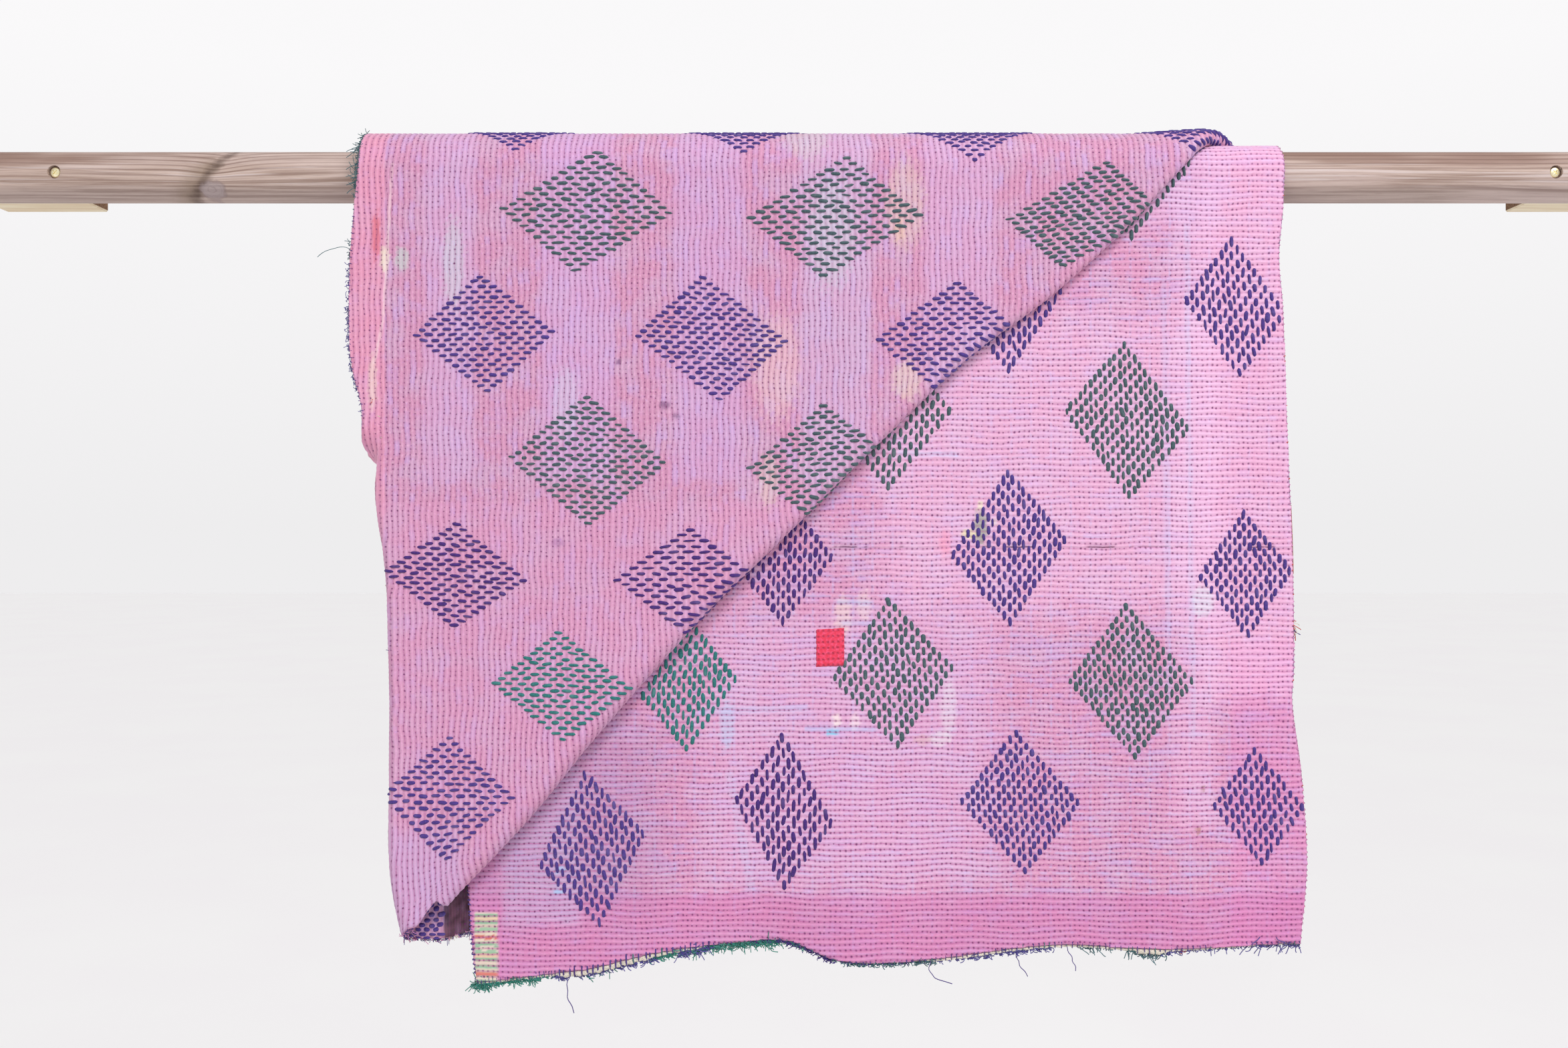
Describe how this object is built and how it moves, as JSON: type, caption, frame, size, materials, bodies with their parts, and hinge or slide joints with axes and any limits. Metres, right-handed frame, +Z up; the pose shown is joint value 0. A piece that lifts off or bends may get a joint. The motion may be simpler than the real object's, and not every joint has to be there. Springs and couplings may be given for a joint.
{
  "type": "kantha quilt on a wall rail",
  "caption": "Quilted cloth with running-stitch diamonds, hung doubled over a wooden wall rail, one corner thrown diagonally back over the rail, its ends frayed.",
  "frame": {"origin": "the left wall block's back face, where it meets the wall, straight behind the left screw and level with the rail's axis", "axes": "+X along the rail to the right as seen from the room, +Y into the wall, +Z up"},
  "size_m": [1.858, 0.1303, 0.9292],
  "materials": {
    "quilted_cotton": "pink cotton with close running stitch, soft and matt",
    "patch_cotton": "plain red cotton, sewn down",
    "frayed_thread": "loose cotton threads",
    "weathered_softwood": "weathered grey-brown softwood with grain and a knot",
    "planed_pine": "bare planed pine",
    "screw_brass": "plain brass"
  },
  "bodies": {
    "root": {"quilt": "quilted_cotton", "sewn_patch": "patch_cotton", "frayed_end_inner": "frayed_thread", "frayed_end_flap": "frayed_thread", "rail": "weathered_softwood", "wall_block_left": "planed_pine", "wall_block_right": "planed_pine", "screw_left": "screw_brass", "screw_right": "screw_brass"}
  },
  "joints": []
}
